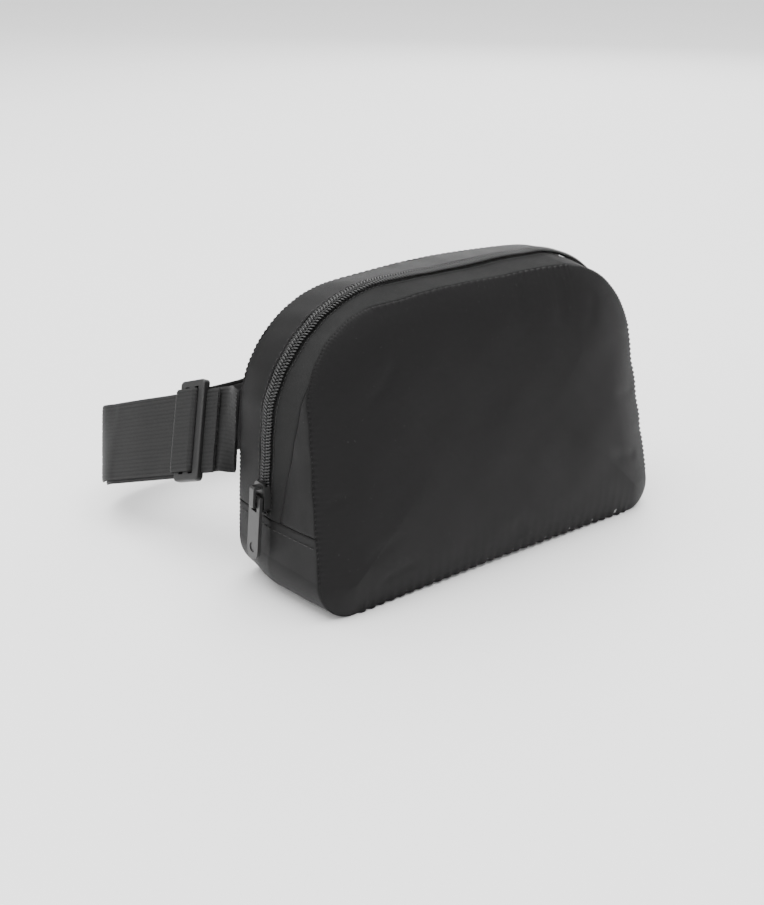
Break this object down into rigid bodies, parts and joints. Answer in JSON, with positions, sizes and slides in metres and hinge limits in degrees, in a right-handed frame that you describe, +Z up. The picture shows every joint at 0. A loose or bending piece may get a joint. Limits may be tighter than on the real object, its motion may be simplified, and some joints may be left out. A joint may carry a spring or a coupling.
{
  "type": "belt bag",
  "caption": "Small padded belt bag with a zip round its top and sides, on an adjustable webbing belt with a side-release buckle.",
  "frame": {"origin": "middle of the flat base, on the face that the bag stands on", "axes": "+X to the bag's right seen from the front, +Y towards the wearer, +Z up"},
  "size_m": [0.2646, 0.1785, 0.1328],
  "materials": {
    "shell_cloth": "fine matt black woven polyester with a slight satin sheen",
    "lining_cloth": "thin black plain-weave lining",
    "foam": "soft grey padding",
    "binding_tape": "black ribbed binding tape",
    "zip_tape": "black twill zip tape",
    "zip_coil": "black nylon coil",
    "webbing": "black ribbed polyester webbing",
    "black_metal": "black enamel on die-cast zinc",
    "black_plastic": "moulded black acetal, satin"
  },
  "bodies": {
    "bag": {"front_panel": "shell_cloth", "back_panel": "shell_cloth", "rear_gusset": "shell_cloth", "base_gusset": "shell_cloth", "side_insert_left": "shell_cloth", "side_insert_right": "shell_cloth", "zip_tape_front": "zip_tape", "zip_tape_rear": "zip_tape", "zip_coil_front": "zip_coil", "zip_coil_rear": "zip_coil", "front_padding": "foam", "back_padding": "foam", "front_lining": "lining_cloth", "back_lining": "lining_cloth", "gusset_lining": "lining_cloth", "inner_pocket": "lining_cloth", "pocket_hem": "binding_tape", "front_seam_binding": "binding_tape", "rear_seam_binding": "binding_tape", "belt_webbing_outer": "webbing", "belt_webbing_inner": "webbing", "belt_webbing_right": "webbing", "buckle_socket": "black_plastic"},
    "zip_slider": {"zip_slider_body": "black_metal"},
    "zip_pull": {"zip_pull_tab": "black_metal"},
    "belt_adjuster": {"triglide": "black_plastic", "triglide_webbing_loop": "webbing", "webbing_sewn_end": "webbing"},
    "buckle_insert": {"buckle_tongue": "black_plastic", "tongue_webbing_loop": "webbing"},
    "upper_arm": {"buckle_arm_upper": "black_plastic"},
    "lower_arm": {"buckle_arm_lower": "black_plastic"}
  },
  "joints": [
    {"name": "zip_slide", "type": "slide", "parent": "bag", "child": "zip_slider", "axis": [0.0994, 0, 0.9951], "range_m": [0, 0.018]},
    {"name": "pull_swing", "type": "hinge", "parent": "zip_slider", "child": "zip_pull", "pos_m": [-0.10663, 0.0086, 0.04748], "axis": [0, 1, 0], "range_deg": [0, 165]},
    {"name": "belt_adjust", "type": "slide", "parent": "bag", "child": "belt_adjuster", "axis": [-0.2602, 0.9065, -0.3324], "range_m": [0, 0.04]},
    {"name": "buckle_release", "type": "slide", "parent": "bag", "child": "buckle_insert", "axis": [-1, 0, 0], "range_m": [0, 0.024]},
    {"name": "upper_arm_flex", "type": "hinge", "parent": "buckle_insert", "child": "upper_arm", "pos_m": [0.0189, 0.14, 0.0453], "axis": [0, 1, 0], "range_deg": [0, 6], "stiffness_Nm_per_rad": 0.02},
    {"name": "lower_arm_flex", "type": "hinge", "parent": "buckle_insert", "child": "lower_arm", "pos_m": [0.0189, 0.14, 0.0067], "axis": [0, -1, 0], "range_deg": [0, 6], "stiffness_Nm_per_rad": 0.02}
  ]
}
